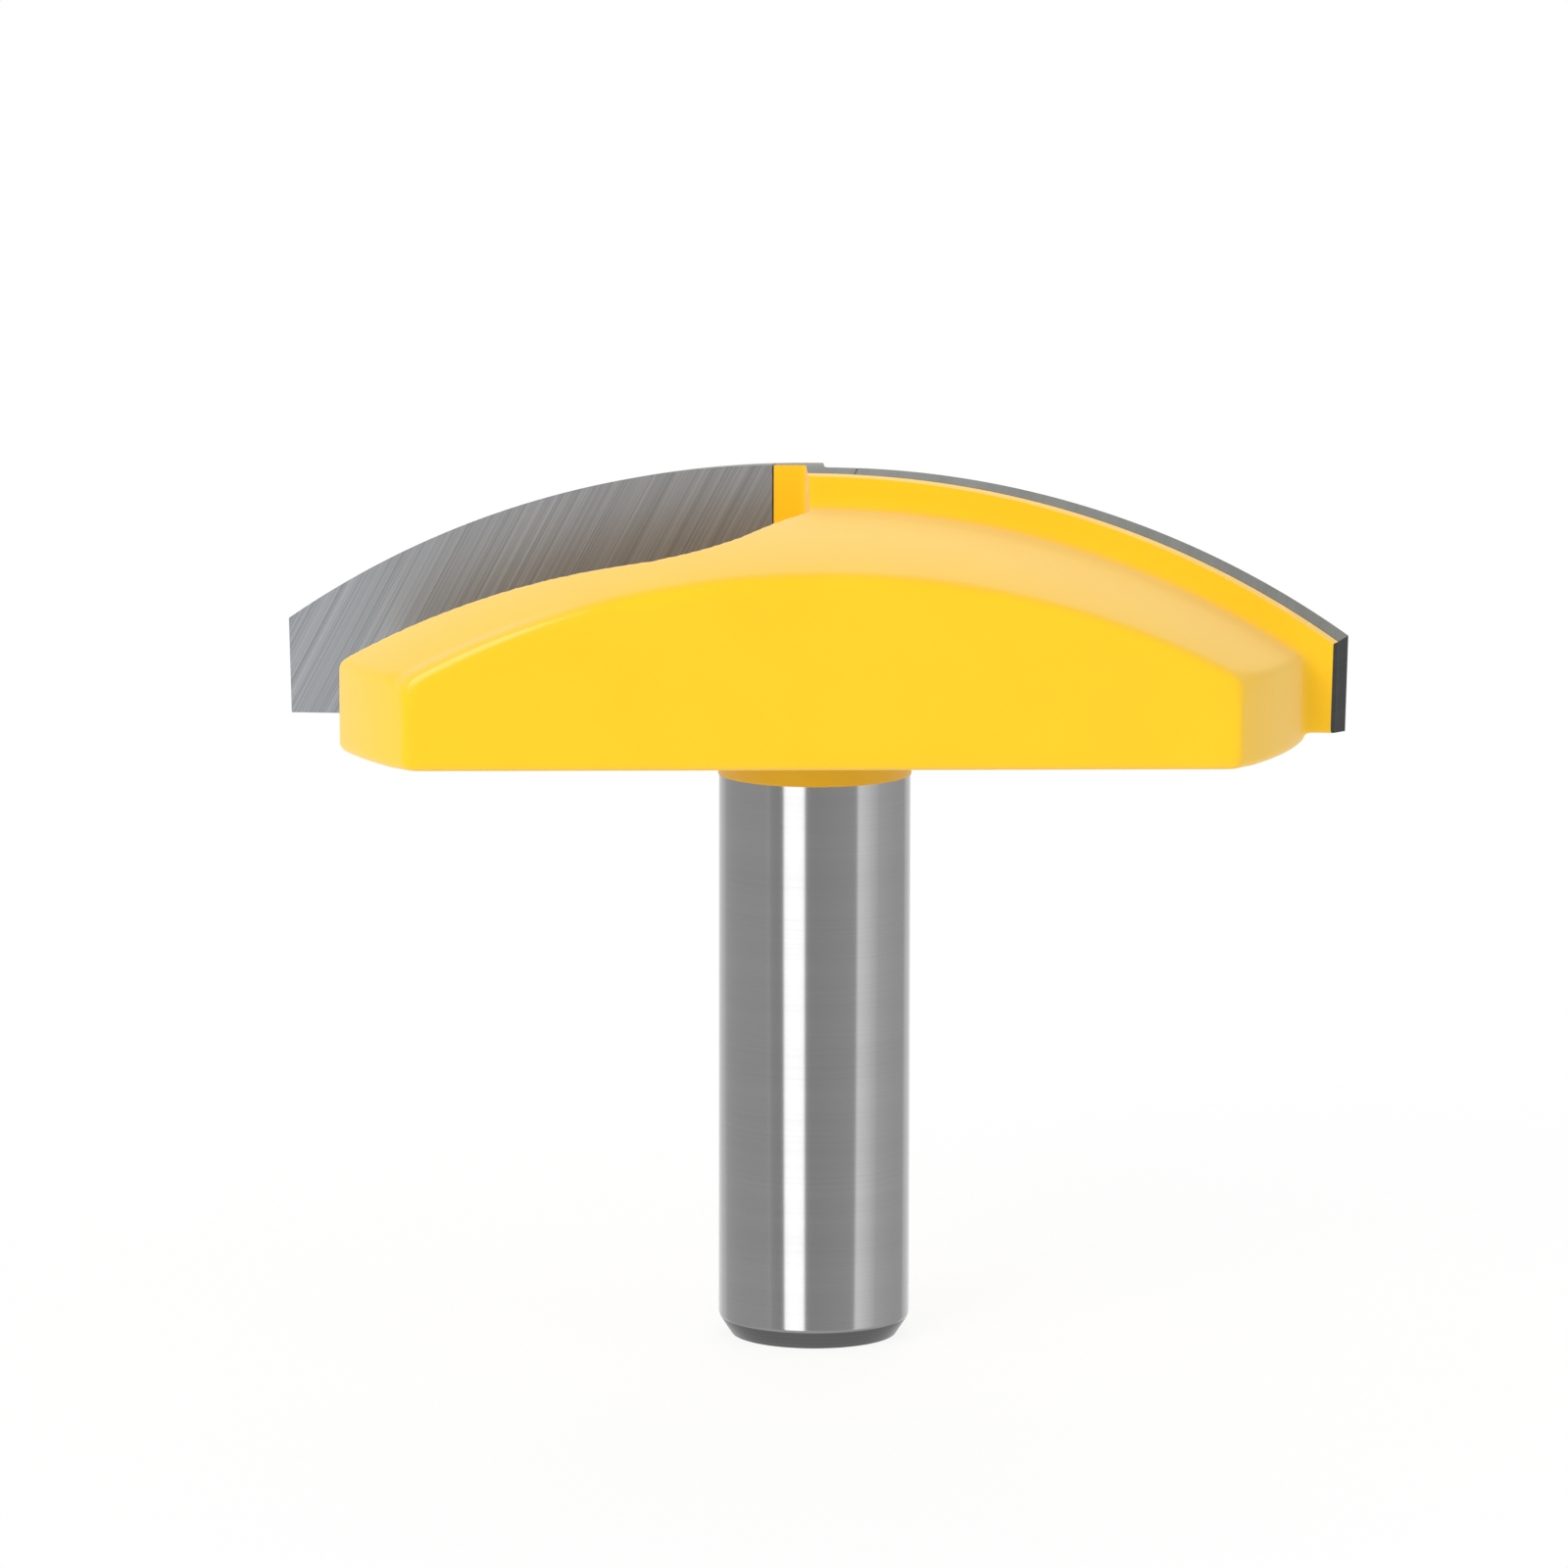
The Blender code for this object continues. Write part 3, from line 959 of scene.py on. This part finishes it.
    def soften(self, head: Object) -> None:
        """Rounds every edge a little, as paint does, and the flats' edges more, as deburring does.

        The skin is first made anew from small even faces, because a smoothing pass moves each
        point by a share of the distance to its neighbours.

        Args:
            head: The milled head.
        """
        skin = {"mode": "SHARP", "octree_depth": self.skin_depth, "scale": self.skin_scale}
        apply_modifier(head, "REMESH", {**skin, "use_remove_disconnected": False})
        apply_modifier(head, "SMOOTH", {"factor": self.pass_strength, "iterations": self.paint_passes})
        group = head.vertex_groups.new(name="flat_edges")
        for vertex in head.data.vertices:
            weight = self.deburred_share(vertex.co)
            if weight > 0.0:
                group.add([vertex.index], weight, "REPLACE")
        passes = {"factor": self.pass_strength, "iterations": self.deburring_passes}
        for _ in range(self.deburring_rounds):
            apply_modifier(head, "SMOOTH", {**passes, "vertex_group": group.name})
        apply_modifier(head, "DECIMATE", {"decimate_type": "COLLAPSE", "ratio": self.kept_share})
        head.vertex_groups.clear()

    def deburred_share(self, place: Vector) -> float:
        """Says how far a point takes part in the rounding of the flats' edges.

        Args:
            place: The point.

        Returns:
            1 along a flat's upper edge, less along its lower one, and 0 away from them. It starts
            to fall at half the deburred width.
        """
        radius = hypot(place.x, place.y)
        inward = self.flat_width / 2 - abs(place.y)
        if inward > self.deburred_width or radius > self.radius:
            return 0.0
        below_crown = self.profile.arc_height(radius, self.crown_drop) - place.z
        above_underside = place.z - self.profile.shank_length
        upper = 2.0 - 2.0 * hypot(inward, below_crown) / self.deburred_width
        lower = 2.0 - 2.0 * hypot(inward, above_underside) / self.deburred_width
        return max(0.0, min(upper, 1.0), self.lower_edge_share * min(lower, 1.0))

    def shape_wheel(self) -> Object:
        """Models what the grinding wheel takes off a wing, above its top and past its outer edge.

        It leaves the steel bare at the outer end, over the tip's seat and at the hub. The strip
        of the rib's top behind the tip comes out painted.

        Returns:
            The left wing's wheel.
        """
        profile = self.profile
        inner_end = -self.rib_overlap - self.overcut
        low = profile.shank_length - self.overcut
        high = profile.overall_length + self.overcut
        far = profile.cutting_radius + self.overcut
        front = -2 * profile.rake_offset - self.wheel_front
        rings = []
        for depth in (front, 0.0, self.tip.thickness + self.tip.braze_gap, profile.land + self.wheel_back):
            edge = profile.ground_edge(depth, inner_end, low)
            rings.append(profile.ring(depth, edge + [(far, low), (far, high), (inner_end, high)]))
        wheel = loft("wheel_left", rings)
        painted_from = profile.rake_offset + self.tip.thickness
        self.mark_bare(
            wheel,
            lambda centre, normal: abs(normal.z) < LYING or centre.dot(profile.behind) < painted_from,
            lambda centre, normal: abs(normal.z) < LYING,
        )
        return wheel

    def shape_seat(self) -> Object:
        """Models the tip's seat: its back, its inner end and its ledge, a braze gap away.

        Returns:
            The left seat's space.
        """
        profile = self.profile
        inner_end = self.tip.inner_end - self.tip.braze_gap
        outer = profile.cutting_radius + self.overcut
        drop = self.tip.height + self.tip.braze_gap
        ledge = [
            (s, profile.arc_height(hypot(s, profile.rake_offset), 0.0) - drop)
            for s in spaced(inner_end, profile.cutting_radius, profile.steps)
        ]
        above = profile.overall_length + self.overcut
        outline = [(inner_end, above), (outer, above), (outer, ledge[-1][1])] + ledge[::-1]
        depths = (-self.overcut, self.tip.thickness + self.tip.braze_gap)
        seat = loft("seat_left", [profile.ring(depth, outline) for depth in depths])
        self.mark_bare(seat, lambda centre, normal: True)
        return seat

    def mark_bare(self, tool: Object, *tests: FaceTest) -> None:
        """Makes faces that this solid cuts bare steel; the others come out painted.

        Args:
            tool: The solid that cuts.
            tests: For the steel of the tops, and then for that of the outer ends, says of a
                face's centre and normal whether it is bare.
        """
        for material in self.materials:
            tool.data.materials.append(material)
        assign_slots(tool, *tests)


@dataclass
class BrazeSeam:
    """The silver brazing alloy that fills the gap between a tip and its seat."""

    tip: CarbideTip
    recess: float = 0.12 * MM
    clearance: float = 0.3 * MM
    hard_edge: float = radians(30.0)

    def build(self, alloy: Material) -> list[Object]:
        """Models both seams.

        Args:
            alloy: The finish of the brazing alloy.

        Returns:
            The left seam and the right one.
        """
        tip = self.tip
        gap = tip.braze_gap
        filled = CarbideTip(tip.profile, tip.thickness + gap, tip.height + gap, tip.inner_end - gap)
        left = filled.shape("braze_seam_left", (self.recess, filled.thickness))
        hollow = tip.shape("tip_space", (-gap, tip.thickness), stock=self.clearance)
        combine(left, hollow, Cut.REMOVE)
        left.data.materials.clear()
        left.data.materials.append(alloy)
        seams = [left, turned_copy(left, "braze_seam_right")]
        for seam in seams:
            shade(seam, self.hard_edge)
            hand_over(seam, "painted_steel", "body")
        return seams


@dataclass(frozen=True)
class Card:
    """An upright card round the bit that only its gloss mirrors.

    Its place is given in degrees to the right of the side that the camera looks from, and its
    two brightnesses are those of its first and its last edge, where 1 is white.
    """

    name: str
    start: float
    end: float
    first: float
    last: float


@dataclass(frozen=True)
class Lamp:
    """A soft square lamp that faces the bit and that the bit's gloss doesn't mirror.

    Its azimuth is in degrees to the right of the side that the camera looks from, its elevation
    in degrees above the floor. Its share is the light that it gives a surface facing it, where 1
    shows a colour as written.
    """

    name: str
    azimuth: float
    elevation: float
    share: float


@dataclass
class Studio:
    """The camera, a plain pale floor, soft lamps, a white world and cards for the gloss."""

    lens: float = 200.0
    sensor_width: float = 36.0
    nearest_seen: float = 0.01
    camera_place: Vector = field(default_factory=lambda: Vector((-16.3488, -570.0, 126.29)) * MM)
    pitch: float = 0.1553
    yaw: float = 0.0251
    roll: float = 0.0014
    floor_size: float = 8.0
    floor_colour: str = "#F8F8F8"
    floor_roughness: float = 0.9
    floor_white: tuple[float, float] = (0.88, 1.0)
    floor_white_from: float = 0.16
    ambient: float = 0.66
    card_distance: float = 1.2
    card_span: tuple[float, float] = (-0.9, 1.5)
    cards: tuple[Card, ...] = (
        Card("left_wall_card", -138.0, -60.0, 0.85, 0.85),
        Card("left_grey_card", -58.0, -40.0, 0.8, 0.61),
        Card("strip_softbox", -39.0, -13.6, 3.6, 3.6),
        Card("front_grey_card", -12.0, 50.5, 0.68, 0.84),
        Card("right_softbox", 51.5, 82.0, 1.95, 1.15),
        Card("right_grey_card", 83.0, 138.0, 1.1, 0.74),
    )
    lamp_distance: float = 1.5
    lamp_size: float = 0.9
    lamps: tuple[Lamp, ...] = (
        Lamp("key_lamp", -38.0, 25.0, 0.40),
        Lamp("fill_lamp", 60.0, 30.0, 0.05),
        Lamp("back_lamp", 176.0, 34.0, 0.25),
    )

    def build(self) -> None:
        """Sets up everything round the bit."""
        scene = bpy.context.scene
        scene.view_settings.view_transform = "Standard"
        self.place_camera(scene)
        self.lay_floor()
        self.light_world(scene)
        for card in self.cards:
            self.stand_card(card)
        for lamp in self.lamps:
            self.place_lamp(lamp)

    def place_camera(self, scene: Scene) -> None:
        """Places the camera as the photograph's was.

        Args:
            scene: The scene that looks through it.
        """
        forward = Vector(
            (sin(self.yaw) * cos(self.pitch), cos(self.yaw) * cos(self.pitch), -sin(self.pitch))
        )
        level = Vector((cos(self.yaw), -sin(self.yaw), 0.0))
        upright = level.cross(forward)
        right = level * cos(self.roll) + upright * sin(self.roll)
        up = upright * cos(self.roll) - level * sin(self.roll)
        bpy.ops.object.camera_add()
        camera = bpy.context.active_object
        camera.data.sensor_width = self.sensor_width
        camera.data.lens = self.lens
        camera.data.clip_start = self.nearest_seen
        turned = Matrix((right, up, -forward)).transposed().to_4x4()
        camera.matrix_world = Matrix.Translation(self.camera_place) @ turned
        scene.camera = camera

    def lay_floor(self) -> None:
        """Lays the floor, which keeps the bit's shadow and turns plain white farther out."""
        bpy.ops.object.select_all(action="DESELECT")
        bpy.ops.mesh.primitive_plane_add(size=self.floor_size)
        floor = bpy.context.active_object
        floor.name = "floor"
        material, tree, shader = new_material("studio_floor")
        shader.inputs["Base Color"].default_value = linear(self.floor_colour)
        shader.inputs["Roughness"].default_value = self.floor_roughness
        shader.inputs["Specular IOR Level"].default_value = 0.0
        place = add_node(tree, "TexCoord", {}, {}).outputs["Object"]
        distance = add_node(tree, "VectorMath", {"operation": "LENGTH"}, {0: place}).outputs["Value"]
        near, far = self.floor_white
        ramp = {"Value": distance, "From Max": self.floor_white_from, "To Min": near, "To Max": far}
        white = add_node(tree, "MapRange", {"interpolation_type": "SMOOTHSTEP"}, ramp).outputs["Result"]
        factors = {0: white, 1: self.seen_directly(tree)}
        share = add_node(tree, "Math", {"operation": "MULTIPLY"}, factors).outputs[0]
        glow = add_node(tree, "Emission", {}, {"Color": WHITE, "Strength": 1.0}).outputs["Emission"]
        shaders = {0: share, 1: shader.outputs["BSDF"], 2: glow}
        mixed = add_node(tree, "MixShader", {}, shaders)
        tree.links.new(mixed.outputs["Shader"], tree.nodes["Material Output"].inputs["Surface"])
        floor.data.materials.append(material)
        floor.visible_glossy = False

    def seen_directly(self, tree: NodeTree) -> NodeSocket:
        """Adds the test for rays from the camera, and for mirrored and transmitted ones.

        Args:
            tree: The node tree that takes it.

        Returns:
            A socket that is 1 for such a ray and 0 for any other.
        """
        rays = add_node(tree, "LightPath", {}, {}).outputs
        seen = rays["Is Camera Ray"]
        for name in ("Is Glossy Ray", "Is Transmission Ray"):
            either = add_node(tree, "Math", {"operation": "MAXIMUM"}, {0: seen, 1: rays[name]})
            seen = either.outputs[0]
        return seen

    def light_world(self, scene: Scene) -> None:
        """Makes the world white to the eye, with soft light of its own.

        Args:
            scene: The scene that it surrounds.
        """
        world = bpy.data.worlds.new("studio")
        world.use_nodes = True
        tree = world.node_tree
        tree.nodes.clear()
        soft = add_node(tree, "Background", {}, {"Color": WHITE, "Strength": self.ambient})
        backdrop = add_node(tree, "Background", {}, {"Color": WHITE, "Strength": 1.0})
        shaders = {0: self.seen_directly(tree), 1: soft.outputs[0], 2: backdrop.outputs[0]}
        mixed = add_node(tree, "MixShader", {}, shaders)
        add_node(tree, "OutputWorld", {}, {"Surface": mixed.outputs[0]})
        scene.world = world

    def stand_card(self, card: Card) -> None:
        """Stands one card upright, facing the bit.

        Args:
            card: The card.
        """
        middle = radians((card.start + card.end) / 2)
        half = radians((card.end - card.start) / 2)
        low, high = self.card_span
        place = Vector((sin(middle), -cos(middle), 0.0)) * self.card_distance
        place.z = (low + high) / 2
        bpy.ops.object.select_all(action="DESELECT")
        bpy.ops.mesh.primitive_plane_add(size=1.0, location=place, rotation=(pi / 2, 0.0, middle))
        plane = bpy.context.active_object
        plane.name = card.name
        plane.scale = (2 * self.card_distance * tan(half), high - low, 1.0)
        material, tree, shader = new_material(f"{card.name}_face")
        over_card = add_node(tree, "UVMap", {}, {}).outputs["UV"]
        across = add_node(tree, "SeparateXYZ", {}, {0: over_card}).outputs["X"]
        ramp = {"Value": across, "To Min": card.first, "To Max": card.last}
        brightness = add_node(tree, "MapRange", {}, ramp).outputs["Result"]
        glow = add_node(tree, "Emission", {}, {"Strength": brightness})
        tree.links.new(glow.outputs[0], tree.nodes["Material Output"].inputs["Surface"])
        tree.nodes.remove(shader)
        material.cycles.emission_sampling = "NONE"
        plane.data.materials.append(material)
        plane.visible_camera = False
        plane.visible_diffuse = False
        plane.visible_transmission = False
        plane.visible_shadow = False

    def place_lamp(self, lamp: Lamp) -> None:
        """Places one lamp.

        Args:
            lamp: The lamp.
        """
        turn, lift = radians(lamp.azimuth), radians(lamp.elevation)
        towards = Vector((sin(turn) * cos(lift), -cos(turn) * cos(lift), sin(lift)))
        bpy.ops.object.light_add(type="AREA", location=towards * self.lamp_distance)
        light = bpy.context.active_object
        light.name = lamp.name
        light.rotation_euler = towards.to_track_quat("Z", "Y").to_euler()
        light.data.shape = "SQUARE"
        light.data.size = self.lamp_size
        # A square lamp gives a surface that faces it its power / (4 distance**2), and pi is white.
        light.data.energy = lamp.share * pi * self.lamp_distance**2 * 4.0
        light.visible_glossy = False


def main() -> None:
    """Builds every piece of the bit and the studio round it."""
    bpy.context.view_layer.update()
    profile = CuttingProfile()
    lean = radians(62.0)
    rake_lines = profile.outwards * sin(lean) + UPWARDS * cos(lean)

    # Steel and carbide that one wheel ground alike: half dull, with lines from the edge backwards
    # on the tops; the outer ends are rougher and painted nearly black, as painted shade.
    top_look = ("#71726B", "#60615B", 0.36, profile.outwards)
    shaded_ends_look = ("#3B3D3C", "#313332", 0.65, UPWARDS)
    land_steel = GroundMetal("ground_land_steel", *top_look).make()
    shaded_ends_steel = GroundMetal("ground_steel_shaded_ends", *shaded_ends_look).make()
    arc = GroundMetal("ground_carbide_arc", *top_look)
    end = GroundMetal("ground_carbide_shaded_ends", *shaded_ends_look)

    # Cylinder-ground tool steel: it mirrors the studio nearly clearly, through faint rings.
    shank_steel = GroundMetal(
        "cylinder_ground_steel",
        "#939393",
        "#8E8E8E",
        0.13,
        UPWARDS,
        line_spacing=0.2 * MM,
        line_length=40 * MM,
        scratch_depth=0.0002 * MM,
        band_spacing=3 * MM,
    ).make()

    # Turned steel: the lathe's rings make the chamfer duller than the shank, and its darker colour is
    # painted shade for the shadowed floor that it mirrors.
    shaded_chamfer = GroundMetal(
        "turned_and_shaded_steel", "#646464", "#565656", 0.3, UPWARDS, line_spacing=0.15 * MM, line_length=40 * MM
    ).make()

    # Tungsten carbide ground with a diamond wheel: long slanting lines on a grey whose grains
    # scatter light, so that it is less metallic than steel.
    rake = GroundMetal(
        "ground_carbide_rake",
        "#7F8286",
        "#64676A",
        0.34,
        rake_lines,
        line_spacing=0.1 * MM,
        line_length=60 * MM,
        scratch_depth=0.002 * MM,
        band_share=0.08,
        metallic=0.45,
    )
    finishes = {side: [finish.make(side.turn) for finish in (rake, arc, end)] for side in WingSide}

    # Silver brazing alloy, dulled and darkened by its flux: a thin dark line round the carbide.
    alloy = GroundMetal("brazing_alloy", "#4C4C48", "#42423F", 0.6, UPWARDS).make()
    enamel = GlossEnamel().make()

    shank = Shank()
    tip = CarbideTip(profile)
    shank.build(shank_steel, shaded_chamfer)
    PaintedHead(profile, shank, tip, materials=[enamel, land_steel, shaded_ends_steel]).build()
    tip.build(finishes)
    BrazeSeam(tip).build(alloy)
    Studio().build()


if __name__ == "__main__":
    logging.basicConfig(level=logging.INFO, format="%(name)s: %(message)s")
    main()
